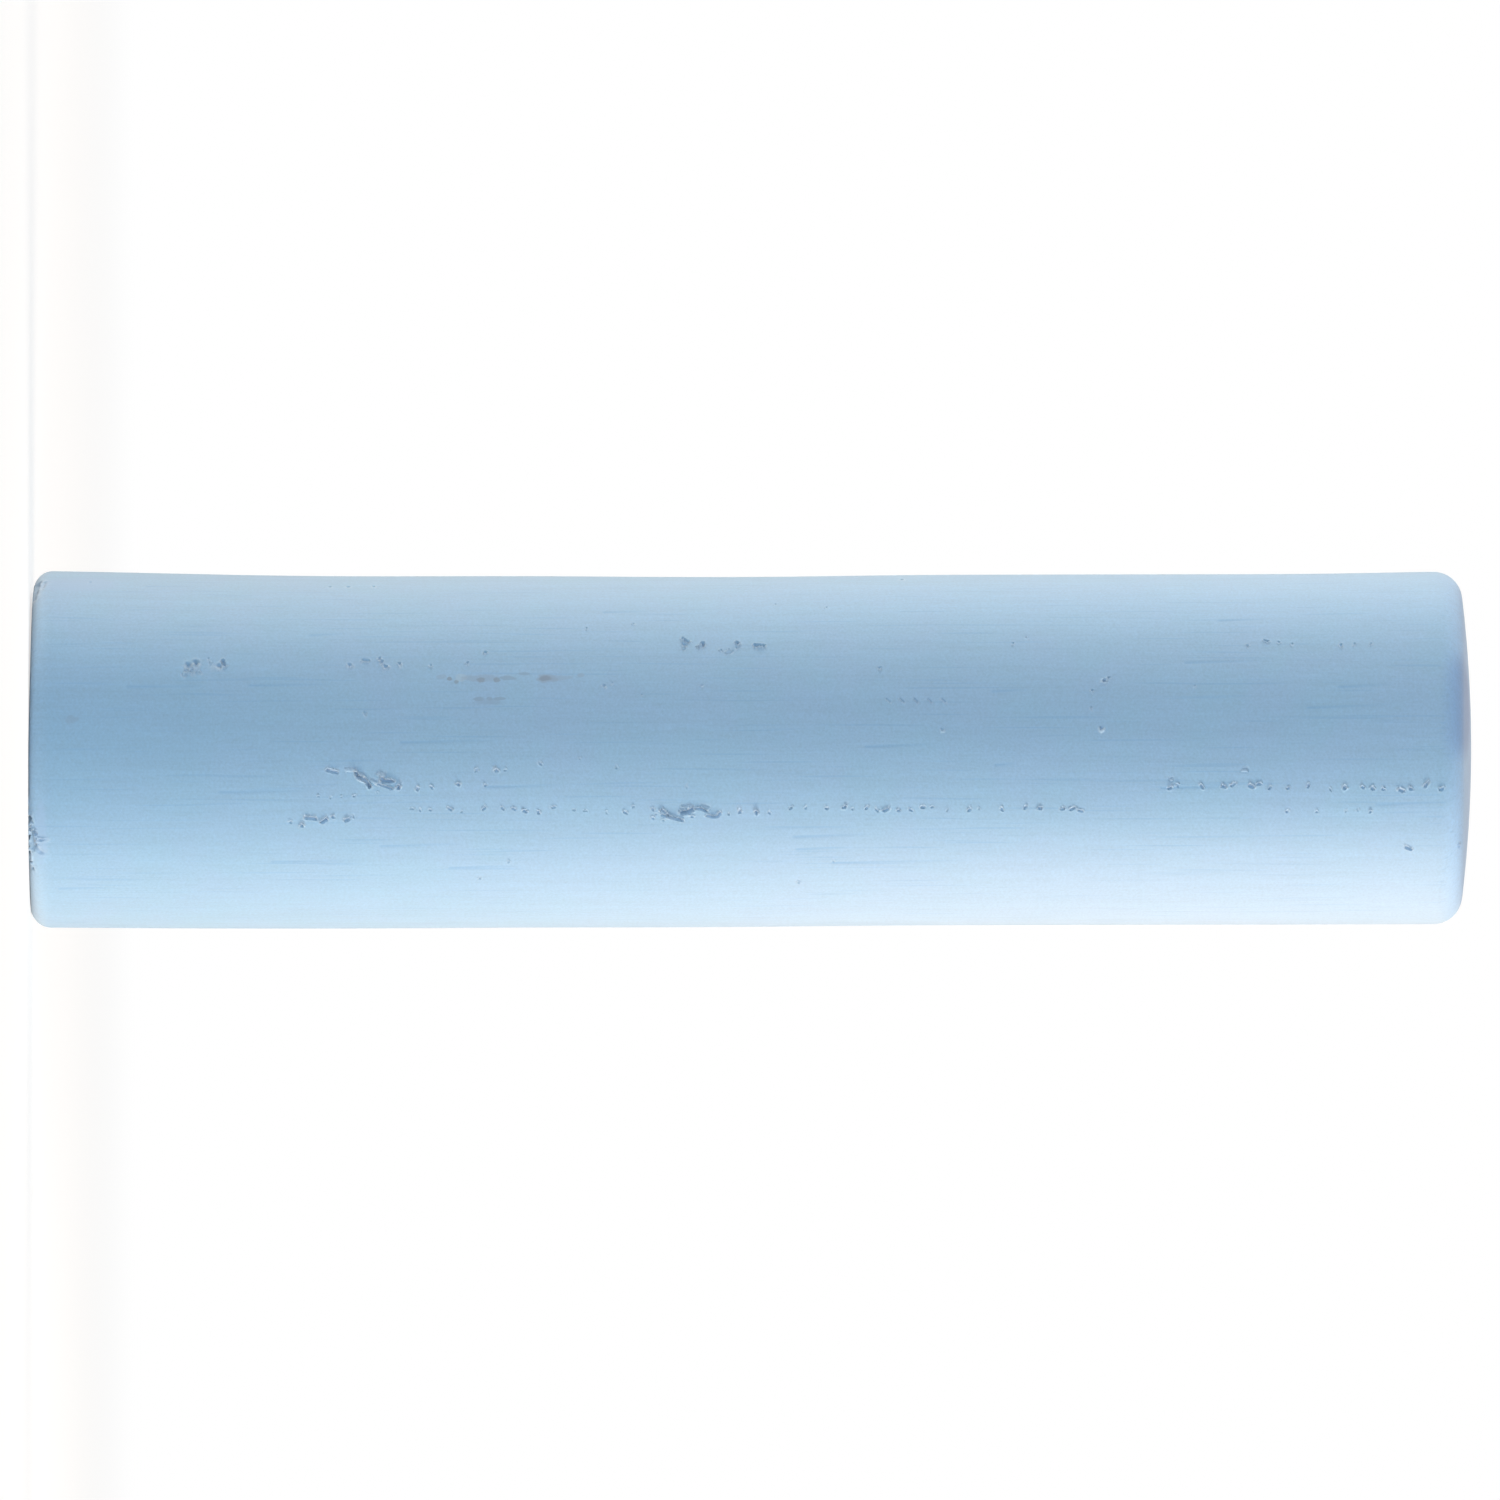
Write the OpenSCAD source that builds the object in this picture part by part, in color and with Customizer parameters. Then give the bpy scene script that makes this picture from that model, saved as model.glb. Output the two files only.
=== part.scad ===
// Soft pastel stick: one round bar of pressed pigment and chalk, stood on its cut end.
// The paste was pushed through a round die, cut to length and dried. The die left
// rows of torn bubbles and long drag lines on the skin, and handling has worn the rims.
// Origin: middle of the cut end, on the table. +Z runs up the axis of the stick.
// Places on the skin are [height above the foot in mm, degrees round from the front],
// where the front faces -Y and degrees count up towards +X. The heights are those on a
// stick of drawn_len, and move with its length.

/* [Stick] */
// Length from the cut end to the crown of the domed end
stick_len = 65; // [55:1:75]
// Diameter at the waist, in the middle of the stick
waist_d = 15.8; // [14:0.1:15.8]
// Diameter just above the rim of the foot
foot_d = 16.1; // [15.9:0.05:16.4]
// Diameter just below the rim of the head
head_d = 15.94; // [15.85:0.05:16.2]
// Height over which the foot flares out from the waist
foot_flare_h = 17; // [8:1:20]
// Height over which the head flares out from the waist
head_flare_h = 8; // [5:1:20]

/* [Ends] */
// Radius worn on the rim of the foot
foot_rim_r = 0.9; // [0.4:0.1:2]
// Radius worn on the rim of the head
head_rim_r = 1.3; // [0.4:0.1:2.5]
// Rise of the head's crown above its rim
head_dome_h = 0.56; // [0.1:0.02:1]

/* [Skin] */
// Depth that a burst bubble takes out of the skin, as a share of its radius
bubble_sink = 0.75; // [0.3:0.05:1]
// Average step between the bubbles of a row
row_step = 0.8; // [0.6:0.1:2]
// Height that a lip of dragged paste stands above the skin
lip_h = 0.05; // [0.02:0.01:0.1]
// Width of a drag line
drag_w = 0.16; // [0.1:0.02:0.3]
// Depth of a drag line at its middle
drag_depth = 0.035; // [0.02:0.005:0.06]

/* [Hidden] */
pastel_blue = [0.61, 0.78, 0.90];
drawn_len = 65;

waist_r = waist_d / 2;
foot_r = foot_d / 2;
head_r = head_d / 2;

// The crown is part of one large sphere, and the head's rim rolls inside it
dome_r = (head_r * head_r + head_dome_h * head_dome_h) / (2 * head_dome_h);
dome_z = stick_len - dome_r;
head_rim_x = head_r - head_rim_r;
head_rim_z = dome_z + sqrt(pow(dome_r - head_rim_r, 2) - pow(head_rim_x, 2));
dome_edge_x = head_rim_x * dome_r / (dome_r - head_rim_r);

// What each flare gains in radius, and the height from its waist end to the rim
foot_gain = foot_r - waist_r;
head_gain = head_r - waist_r;
foot_rise = foot_flare_h - foot_rim_r;
head_rise = head_flare_h - (stick_len - head_rim_z);

// Facets: fine on the body's large arcs, plain on small marks
body_fn = 240;
dome_fn = 2400;
mark_fn = 24;

// Straight steps that each flare's arc is drawn in
flare_steps = 3;

// A groove's rod loses this many times the groove's depth from its radius along its
// length, but its thin end keeps this share of its width
run_out = 1.15;
thin_end = 1 / 8;

// How far a row's bubbles stray: along it as a share of the step, and round it in degrees
row_stray = 0.3;
row_wander = 0.9;
// The bubbles' least radius and the spread above and below it, as shares of the row's
row_least = 0.8;
row_spread = 0.3;

// Bubbles torn open by the die: [height, degrees, radius]
bubble_groups = [
    // pair near the foot
    [[7.4, -28.5, 0.32], [8.6, -28.5, 0.24]],
    // short row high on the foot's shoulder
    [[2.7, -70, 0.14], [13.6, -68, 0.14], [14.4, -68, 0.15], [15.5, -68, 0.16]],
    // trail behind the pair
    [[14.5, -29, 0.16], [15.1, -30.5, 0.2], [15.9, -30, 0.24], [16.8, -28, 0.17],
     [18.1, -28.5, 0.14], [19.7, -29.5, 0.13], [20.6, -33.5, 0.15], [15.1, -12, 0.14]],
    // bubbles round the forked tear
    [[13.4, 7, 0.16], [13.9, 8, 0.15], [16.9, 12.4, 0.2], [17.5, 13.5, 0.17],
     [18.2, 12.5, 0.16], [19.4, 11.5, 0.17]],
    // fine dots beside it
    [[13, 15, 0.1], [13.6, 15.5, 0.1], [14.1, 15, 0.1], [14.6, 15, 0.1], [15.7, 14.5, 0.1]],
    // cluster on the lower shoulder
    [[11.9, 24, 0.16], [12.3, 25.5, 0.14], [12.7, 23, 0.18], [13.2, 23.5, 0.2],
     [13.7, 22.5, 0.18], [14.3, 23.5, 0.15]],
    // loose bubbles along the middle
    [[20.1, 7, 0.15], [21, 7, 0.16], [21.4, 7, 0.12], [23.1, 4.5, 0.14], [26.4, 6, 0.13],
     [25.9, -21.5, 0.15], [26.3, -22.5, 0.12], [30.3, -21.5, 0.12], [29.6, 12.5, 0.12]],
    // group above the middle
    [[29.5, -38.5, 0.24], [30.3, -36.5, 0.2], [31.9, -37.6, 0.16]],
    // row of diagonal nicks and the dots beyond it
    [[38.3, -28, 0.15], [41.1, -6.5, 0.13], [44.3, -37.5, 0.13], [48.4, -23.5, 0.18],
     [47.8, -20, 0.13], [47.8, -14, 0.12], [48.2, -7, 0.16]],
    // two short rows towards the head
    [[54.9, -36.5, 0.13], [55.6, -39, 0.15], [56.3, -38, 0.13], [56.9, -37, 0.13],
     [59, -36.5, 0.15], [59.7, -37, 0.13], [60.4, -37, 0.12]],
    // lower row towards the head
    [[56.6, 20.5, 0.14], [58, 20.5, 0.13], [59.3, 20.5, 0.12], [60.3, 20.5, 0.14]],
    // the back has the same kind of bubbles
    [[9.5, 150, 0.26], [10.4, 151, 0.18], [22.5, 128, 0.22], [23.4, 129, 0.16],
     [35.5, 171, 0.24], [36.3, 170, 0.16], [46, 205, 0.2], [52.5, 112, 0.18], [53.4, 113, 0.14]]
];

// Rows of bubbles drawn out along the stick: [from, to, degrees, largest radius, seed]
bubble_rows = [
    [17.3, 28, 20, 0.13, 3],
    [32.5, 48, 20, 0.15, 8],
    [51.4, 64, 12, 0.17, 5],
    [20, 33, 139, 0.15, 13],
    [40, 58, 188, 0.15, 21],
    [6, 17, 236, 0.14, 34]
];

// Tears in the skin: [height, degrees, length, width, depth, lean off the axis in degrees]
tears = [
    // forked tear
    [15.05, 9.9, 0.8, 0.26, 0.17, 44],
    [16.15, 9.6, 0.5, 0.24, 0.15, 15],
    [16.1, 12.2, 0.45, 0.16, 0.08, 28],
    // crossed tear in the middle of the long row
    [28.95, 22, 1, 0.24, 0.15, 30],
    [29.75, 20.1, 0.45, 0.28, 0.17, -22],
    [30.5, 20.3, 0.45, 0.2, 0.12, 15],
    [30.8, 22.5, 0.5, 0.18, 0.09, -8],
    // short ones by the upper group and the head
    [32.75, -36.7, 0.5, 0.16, 0.09, 4],
    [62.1, 34, 0.7, 0.2, 0.08, 25],
    // on the back
    [24.6, 143, 1.1, 0.26, 0.15, 30],
    [25.8, 142, 0.6, 0.22, 0.12, -25],
    [47.6, 192.5, 1.1, 0.26, 0.15, 28]
];

// Diagonal nicks in a short even row
nick_from = 38.7;
nick_step = 0.62;
nick_count = 5;
nick_at = -16.5;
nick_len = 0.5;
nick_w = 0.14;
nick_depth = 0.06;
nick_lean = 50;

// Lips of paste pushed up beside the tears: [height, degrees, radius of the ball under it]
lips = [
    [7.1, -25.4, 0.35], [13.3, 9.8, 0.3], [15.6, 6.8, 0.4], [16.4, 14.9, 0.3],
    [28.7, 17.6, 0.35], [30, 23.2, 0.35], [31.4, -34.3, 0.5], [44.9, -40.5, 0.4],
    [51, 9.6, 0.35], [54.6, 7, 0.35], [25.4, 147.6, 0.45], [47.2, 196, 0.4]
];

// Drag lines, which follow the axis: [middle height, degrees, length]
drag_lines = [
    [6.3, -21, 4], [11.9, -21.5, 4.2], [13.6, -40.5, 2], [13.2, 39, 5], [2.5, 50.5, 2.4],
    [11, 13.5, 5], [6.4, -67, 2.6], [19, -3, 5], [22.5, 11.7, 3.2], [20.6, 41.5, 3.6],
    [17.8, 32.5, 4.2], [27, -51.5, 2.6], [36.2, 29, 3.8], [35.8, 34, 2.8], [39.5, 39.5, 7],
    [39.3, -1.5, 3.6], [44.2, -20, 2], [60.2, -21.5, 2.6], [59.5, -14.5, 4.2], [62.2, 17.5, 3.2],
    [54.6, -47.5, 2.4], [53.9, -30, 4]
];

// Drag lines on the back: each steps up the stick and turns on within the back's span,
// and their lengths go round three values
back_from = 80;
back_span = 200;
back_drags = 12;
back_drag_from = 6;
back_drag_step = 4.6;
back_drag_turn = 47;
back_drag_lens = [3, 4, 5];

// Chips out of the rims: [height, degrees, radius, how far its centre sits outside the skin]
rim_chips = [
    [0.1, 16, 0.45, 0.12], [0.3, 22.5, 0.4, 0.15], [0, 29.5, 0.6, 0.1], [0.3, 36.5, 0.5, 0.2],
    [0.1, 42.5, 0.45, 0.14], [0.2, -71, 0.5, 0.2], [0.6, -64, 0.4, 0.25],
    [0.1, 118, 0.6, 0.2], [0.2, 125.4, 0.4, 0.15], [0.1, 214, 0.45, 0], [64.5, 160, 0.5, 0]
];

// Radius of the skin at a height: the waist, with an arc of flare towards each end
function flare_arc_r(gain, rise) = (rise * rise + gain * gain) / (2 * gain);
function flare(gain, rise, way) =
    way <= 0 ? 0 : flare_arc_r(gain, rise) - sqrt(pow(flare_arc_r(gain, rise), 2) - way * way);
function skin_r(up) = waist_r
    + flare(foot_gain, foot_rise, foot_flare_h - max(up, foot_rim_r))
    + flare(head_gain, head_rise, min(up, head_rim_z) - (stick_len - head_flare_h));

// Puts a shape on the skin, with -Y pointing out of the stick and +Z up it
module on_skin(up, around, out = 0) {
    height = up * stick_len / drawn_len;
    rotate([0, 0, around]) translate([0, -skin_r(height) - out, height]) children();
}

// Half of the stick's outline, from the axis out: flank, rims and crown
module half_outline() {
    steps = [for (i = [0 : flare_steps]) i / flare_steps];
    foot_ups = [for (s = steps) foot_rim_r + s * foot_rise];
    head_ups = [for (s = steps) stick_len - head_flare_h + s * head_rise];
    flank = [for (up = concat(foot_ups, head_ups)) [skin_r(up), up]];
    polygon(concat([[0, foot_rim_r]], flank, [[0, head_rim_z]]));
    square([foot_r - foot_rim_r, foot_flare_h]);
    translate([foot_r - foot_rim_r, foot_rim_r]) circle(foot_rim_r, $fn = body_fn);
    translate([head_rim_x, head_rim_z]) circle(head_rim_r, $fn = body_fn);
    intersection() {
        translate([0, stick_len - head_flare_h]) square([dome_edge_x, head_flare_h]);
        translate([0, dome_z]) circle(dome_r, $fn = dome_fn);
    }
}

// The bar as the die and the knife left it
module bar() {
    rotate_extrude($fn = body_fn) half_outline();
}

// A ball on the skin, with its poles on the line that runs out of the stick
module skin_ball(up, around, out, r) {
    on_skin(up, around, out) rotate([90, 0, 0]) sphere(r, $fn = mark_fn);
}

// One burst bubble: a ball whose centre lies just outside the skin
module bubble(up, around, r) {
    skin_ball(up, around, r * (1 - bubble_sink), r);
}

// A row of bubbles at uneven steps and sizes
module bubble_row(from, to, around, r, seed) {
    count = floor((to - from) / row_step);
    chance = rands(-1, 1, 3 * count, seed);
    for (i = [0 : count - 1])
        bubble(from + row_step * (i + 0.5 + row_stray * chance[i]),
               around + row_wander * chance[count + i],
               r * (row_least + row_spread * chance[2 * count + i]));
}

// A scored groove: a rod laid along the skin and sunk to the groove's depth at its blunt
// end, which thins out until it leaves the skin. Drag lines and tears are both made so.
module score(up, around, length, width, depth, lean = 0) {
    on_skin(up, around, width / 2 - depth) rotate([0, lean, 0]) translate([0, 0, -length / 2]) {
        sphere(width / 2, $fn = mark_fn);
        cylinder(length, width / 2, max(thin_end * width, width / 2 - run_out * depth),
                 $fn = mark_fn);
    }
}

// A low lip: the cap of a ball that is nearly all under the skin
module lip(up, around, r) {
    skin_ball(up, around, lip_h - r, r);
}

// The stick with everything that the skin has gained and lost
module pastel_stick() {
    color(pastel_blue) difference() {
        union() {
            bar();
            for (l = lips) lip(l[0], l[1], l[2]);
        }
        for (group = bubble_groups, b = group) bubble(b[0], b[1], b[2]);
        for (row = bubble_rows) bubble_row(row[0], row[1], row[2], row[3], row[4]);
        for (t = tears) score(t[0], t[1], t[2], t[3], t[4], t[5]);
        for (i = [0 : nick_count - 1])
            score(nick_from + i * nick_step, nick_at, nick_len, nick_w, nick_depth, nick_lean);
        for (d = drag_lines) score(d[0], d[1], d[2], drag_w, drag_depth);
        for (i = [0 : back_drags - 1])
            score(back_drag_from + i * back_drag_step, back_from + (i * back_drag_turn) % back_span,
                  back_drag_lens[i % len(back_drag_lens)], drag_w, drag_depth);
        for (c = rim_chips) skin_ball(c[0], c[1], c[3], c[2]);
    }
}

pastel_stick();
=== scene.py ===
import math

import bpy
import numpy as np
from mathutils import Matrix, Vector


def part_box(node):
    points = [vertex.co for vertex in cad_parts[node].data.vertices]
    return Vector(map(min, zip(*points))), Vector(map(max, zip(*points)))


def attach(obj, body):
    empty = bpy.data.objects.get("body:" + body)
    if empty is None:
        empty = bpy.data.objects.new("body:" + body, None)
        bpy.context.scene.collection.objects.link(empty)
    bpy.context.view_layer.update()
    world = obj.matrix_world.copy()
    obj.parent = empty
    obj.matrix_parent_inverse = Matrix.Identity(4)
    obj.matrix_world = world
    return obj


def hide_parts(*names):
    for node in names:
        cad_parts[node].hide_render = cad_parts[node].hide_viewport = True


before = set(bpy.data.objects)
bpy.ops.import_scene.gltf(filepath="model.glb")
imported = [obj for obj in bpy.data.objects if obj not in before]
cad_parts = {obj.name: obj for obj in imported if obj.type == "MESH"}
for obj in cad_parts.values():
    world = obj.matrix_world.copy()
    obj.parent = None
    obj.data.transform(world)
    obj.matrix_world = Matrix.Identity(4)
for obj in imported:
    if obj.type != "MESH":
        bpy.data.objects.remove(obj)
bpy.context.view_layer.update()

# The view: square on to the front of the stick from well away, with the camera rolled
# over so that the stick lies across the picture, its foot to the left. The foot ends at
# one pixel column, on the near skin, and the crown at another, on the axis.
scene = bpy.context.scene
mm = 0.001
low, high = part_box("pastel_stick")
stick_h = high.z - low.z
picture_px = 1500
foot_px, crown_px = 28, 1471
camera_away = 2000 * mm
near_skin = 8 * mm
foot_reach = (picture_px / 2 - foot_px) * (camera_away - near_skin)
crown_reach = (crown_px - picture_px / 2) * camera_away
aim_h = stick_h * foot_reach / (foot_reach + crown_reach)
picture_w = picture_px * aim_h * camera_away / foot_reach
sensor_w = 36.0
lens = bpy.data.cameras.new("photo_camera")
lens.sensor_width = sensor_w
lens.lens = sensor_w * camera_away / picture_w
lens.clip_start = 10 * mm
camera = bpy.data.objects.new("photo_camera", lens)
scene.collection.objects.link(camera)
camera.matrix_world = Matrix((
    (0, -1, 0, 0),
    (0, 0, -1, -camera_away),
    (1, 0, 0, aim_h),
    (0, 0, 0, 1),
))
scene.camera = camera
scene.view_settings.view_transform = "Standard"


# Shader maths is written as plain expressions. A Socket wraps one output of a node tree,
# and an expression on Sockets adds the Math nodes that work it out.
class Socket:
    def __init__(self, tree, link):
        self.tree, self.link = tree, link

    def node(self, kind, inputs=(), output=0, **settings):
        made = self.tree.nodes.new(kind)
        for name, value in settings.items():
            setattr(made, name, value)
        for name, value in dict(inputs).items():
            if isinstance(value, Socket):
                self.tree.links.new(value.link, made.inputs[name])
            else:
                made.inputs[name].default_value = value
        return Socket(self.tree, made.outputs[output])

    def maths(self, what, *values):
        return self.node("ShaderNodeMath", dict(enumerate(values)), operation=what)

    def __add__(self, other):
        return self.maths("ADD", self, other)

    def __sub__(self, other):
        return self.maths("SUBTRACT", self, other)

    def __rsub__(self, other):
        return self.maths("SUBTRACT", other, self)

    def __mul__(self, other):
        return self.maths("MULTIPLY", self, other)

    def __truediv__(self, other):
        return self.maths("DIVIDE", self, other)

    def __abs__(self):
        return self.maths("ABSOLUTE", self)

    __radd__, __rmul__ = __add__, __mul__

    def either(self, other):
        return self.maths("MAXIMUM", self, other)

    def ramp(self, start, end):
        """0 up to start, 1 from end on, and a smooth rise between them."""
        return self.node("ShaderNodeMapRange", {"Value": self, "From Min": start, "From Max": end},
                         interpolation_type="SMOOTHSTEP")

    def times(self, vector):
        return self.node("ShaderNodeVectorMath", {0: self, 1: vector}, operation="MULTIPLY")

    def along(self, axis):
        """One axis of this place: 0 is X, 1 is Y and 2 is Z."""
        return self.node("ShaderNodeSeparateXYZ", {0: self}, output=axis)

    def tint(self, colour, amount):
        """This colour with an amount, from 0 to 1, of another laid over it."""
        return self.node("ShaderNodeMix", {0: amount, 6: self, 7: colour}, output=2, data_type="RGBA")

    def noise(self, where, scale, detail=2.0, rough=0.5):
        return self.node("ShaderNodeTexNoise",
                         {"Vector": where, "Scale": scale, "Detail": detail, "Roughness": rough})

    def surface_of(self, kind):
        """Ends the tree: this shader becomes the surface of the material or the world."""
        self.tree.links.new(self.link, self.tree.nodes.new(kind).inputs["Surface"])


def new_tree(owner):
    """The emptied node tree of a material or world, with a Socket helper that adds to it."""
    owner.use_nodes = True
    owner.node_tree.nodes.clear()
    return Socket(owner.node_tree, None)


# The room: pale cool light from the walls, half as strong from the ceiling, and a plain
# white backdrop where the camera or a reflection looks past the stick.
white = (1.0, 1.0, 1.0, 1.0)
cool = (0.754, 0.877, 1.0)
wall_light, ceiling_light = 0.365, 0.1825
wall_top, ceiling_start = 0.2, 0.9
world = bpy.data.worlds.new("studio")
scene.world = world
sky = new_tree(world)
path = "ShaderNodeLightPath"
seen = sky.node(path, output="Is Camera Ray").either(sky.node(path, output="Is Glossy Ray"))
upward = sky.node("ShaderNodeTexCoord").along(2)
walls = sky.node("ShaderNodeBackground", {"Color": (*cool, 1.0), "Strength": wall_light})
ceiling = sky.node("ShaderNodeBackground", {"Color": (*cool, 1.0), "Strength": ceiling_light})
room = sky.node("ShaderNodeMixShader", {0: upward.ramp(wall_top, ceiling_start), 1: walls, 2: ceiling})
backdrop = sky.node("ShaderNodeBackground", {"Color": white, "Strength": 1.0})
sky.node("ShaderNodeMixShader", {0: seen, 1: room, 2: backdrop}).surface_of("ShaderNodeOutputWorld")

# The sweep: matt white board, one flat sheet that the stick stands on. To the camera it
# also glows, just enough to be white in the open and keep the stick's soft shadow, and
# further off than the shadow reaches it is seen as plain white.
floor_half = 3.0
floor_white = 0.8
floor_glow = 0.45
glow_light = 1.48
glow_near, glow_far = 0.10, 0.35
corners = [(-floor_half, -floor_half, 0), (floor_half, -floor_half, 0),
           (floor_half, floor_half, 0), (-floor_half, floor_half, 0)]
sweep_mesh = bpy.data.meshes.new("sweep")
sweep_mesh.from_pydata(corners, [], [(0, 1, 2, 3)])
sweep = bpy.data.objects.new("sweep", sweep_mesh)
scene.collection.objects.link(sweep)
sweep_finish = bpy.data.materials.new("white_sweep")
paint = new_tree(sweep_finish)
matt = paint.node("ShaderNodeBsdfDiffuse", {"Color": (floor_white, floor_white, floor_white, 1.0)})
glow = paint.node("ShaderNodeEmission", {"Color": white, "Strength": glow_light})
from_stick = paint.node("ShaderNodeVectorMath", {0: paint.node("ShaderNodeTexCoord", output="Object")},
                        output="Value", operation="LENGTH")
far_off = from_stick.ramp(glow_near, glow_far)
looked_at = paint.node(path, output="Is Camera Ray")
near_floor = paint.node("ShaderNodeMixShader", {0: looked_at * floor_glow, 1: matt, 2: glow})
far_floor = paint.node("ShaderNodeEmission", {"Color": white, "Strength": 1.0})
seen_floor = paint.node("ShaderNodeMixShader", {0: looked_at * far_off, 1: near_floor, 2: far_floor})
seen_floor.surface_of("ShaderNodeOutputMaterial")
sweep_mesh.materials.append(sweep_finish)


# The lamps: four square soft boxes that stand low round the stick and face its middle.
# Warm ones on its right and behind its left make both sides pale, and the cool one at the
# front is further off and leaves the front the darkest.
def soft_box(name, place, width, watts, colour):
    lamp = bpy.data.lights.new(name, "AREA")
    lamp.size = width
    lamp.energy, lamp.color = watts, colour
    box = bpy.data.objects.new(name, lamp)
    scene.collection.objects.link(box)
    x, y, z = place
    turn = math.atan2(x, -y)
    drop = math.atan2(stick_h / 2 - z, math.hypot(x, y))
    box.rotation_euler = (math.pi / 2 + drop, 0, turn)
    box.location = place


warm = (1.0, 0.873, 0.747)
soft_box("right_box", (0.30, 0.0, 0.07), 0.3, 1.48, warm)
soft_box("front_right_box", (0.34, -0.12, 0.10), 0.3, 0.36, warm)
soft_box("back_left_box", (-0.40, 0.10, 0.08), 0.35, 2.34, warm)
soft_box("front_box", (0.0, -0.80, 0.10), 0.5, 2.94, cool)


# The pastel stick: pigment and chalk bound with a trace of gum, pushed through a round
# die, cut to length at the foot and dried. Handling has worn both rims. Sizes are in
# millimetres until the mesh is made.
foot_rim, head_rim, dome = 0.9, 1.3, 0.56
barrel_r = 7.9
height = stick_h / mm

# How the bar moved off true as it dried: its radius and the sideways drift of its middle,
# each as [height, value]
radius_at = ((0, 8.05), (4, 8.03), (8, 7.99), (13, 7.95), (19, 7.94), (26, 7.92), (33, 7.89),
             (40, 7.91), (56, 7.905), (61, 7.93), (65, 7.97))
drift_at = ((0, -0.05), (7.5, 0.06), (12, 0.11), (17, 0.11), (22, 0.08), (30, 0.11), (35, 0.08),
            (39, 0.02), (53, -0.02), (58, -0.03), (61, -0.08), (65, -0.12))

# The cut is a little off square: its left half rises from the table by this slope, which
# fades out up the stick
cut_slope, cut_fade = 0.0168, 2.0

# The foot's rim is less worn at the front and the back than at the sides: this much is
# added there to the power of 2 that makes a round rim
rim_square = 3.0

# Both curves are worked out at this many heights and eased over this many to each side
curve_samples, curve_ease = 400, 20


def along_curve(points, where):
    """Values of a listed curve, eased between its points."""
    xs, ys = zip(*points)
    fine = np.linspace(xs[0], xs[-1], curve_samples)
    padded = np.pad(np.interp(fine, xs, ys), curve_ease, mode="edge")
    eased_over = 2 * curve_ease + 1
    return np.interp(where, fine, np.convolve(padded, np.ones(eased_over) / eased_over, "valid"))


# The outline from the middle of the foot to the crown: a flat disc, the worn rim, the
# flank, the second worn rim and the low dome. A place on the skin is a turn about the
# axis and a run along this outline.
dome_r = (barrel_r ** 2 + dome ** 2) / (2 * dome)
dome_tilt = math.asin((barrel_r - head_rim) / (dome_r - head_rim))
head_rim_z = height - dome_r + (dome_r - head_rim) * math.cos(dome_tilt)
foot_disc = barrel_r - foot_rim
foot_arc = foot_rim * math.pi / 2
flank = head_rim_z - foot_rim
head_arc = head_rim * (math.pi / 2 - dome_tilt)
head_cap = dome_r * dome_tilt
flank_start = foot_disc + foot_arc
flank_end = flank_start + flank
rim_end = flank_end + head_arc
outline_run = rim_end + head_cap


def outline(run):
    """Radius, height and outward slope of the outline at each run along it."""
    r, z, nr, nz = (np.zeros_like(run) for _ in range(4))
    part = run <= foot_disc
    r[part], nz[part] = run[part], -1
    part = (run > foot_disc) & (run <= flank_start)
    t = (run[part] - foot_disc) / foot_rim
    r[part], z[part] = foot_disc + foot_rim * np.sin(t), foot_rim * (1 - np.cos(t))
    nr[part], nz[part] = np.sin(t), -np.cos(t)
    part = (run > flank_start) & (run <= flank_end)
    r[part], z[part], nr[part] = barrel_r, foot_rim + run[part] - flank_start, 1
    part = (run > flank_end) & (run <= rim_end)
    t = (run[part] - flank_end) / head_rim
    r[part] = barrel_r - head_rim + head_rim * np.cos(t)
    z[part] = head_rim_z + head_rim * np.sin(t)
    nr[part], nz[part] = np.cos(t), np.sin(t)
    part = run > rim_end
    t = np.maximum(outline_run - run[part], 0) / dome_r
    r[part], z[part] = dome_r * np.sin(t), height - dome_r * (1 - np.cos(t))
    nr[part], nz[part] = np.sin(t), np.cos(t)
    return r, z, nr, nz


# The marks that the die left. Each is a stroke: the places that it passes through, as
# [height, degrees round from the front], then its half width and depth. A stroke with
# one place is a burst bubble.
bubbles = [
    ([(7.55, -29.4)], 0.2, 0.16), ([(7.2, -28.4)], 0.22, 0.12), ([(7.35, -26.9)], 0.16, 0.08),
    ([(7.1, -26.6)], 0.1, 0.06), ([(8.75, -30.2), (8.83, -28.6)], 0.12, 0.13),
    ([(8.6, -28.4)], 0.2, 0.08), ([(8.1, -31)], 0.09, 0.04),
    ([(2.7, -70.5)], 0.12, 0.06), ([(13.55, -68)], 0.1, 0.07), ([(14.35, -68)], 0.12, 0.08),
    ([(15.5, -68.5)], 0.12, 0.08),
    ([(14.45, -28.8)], 0.14, 0.08), ([(15.05, -30.6), (15.3, -30.4)], 0.1, 0.06),
    ([(15.8, -31.2)], 0.11, 0.08), ([(16.05, -28.2)], 0.14, 0.1), ([(15.9, -30)], 0.12, 0.08),
    ([(16.7, -29.2)], 0.12, 0.08), ([(18.1, -28.6)], 0.1, 0.06), ([(19.75, -29.6)], 0.09, 0.06),
    ([(20.55, -33.6)], 0.11, 0.07), ([(15.15, -12.1)], 0.1, 0.06),
]
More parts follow.
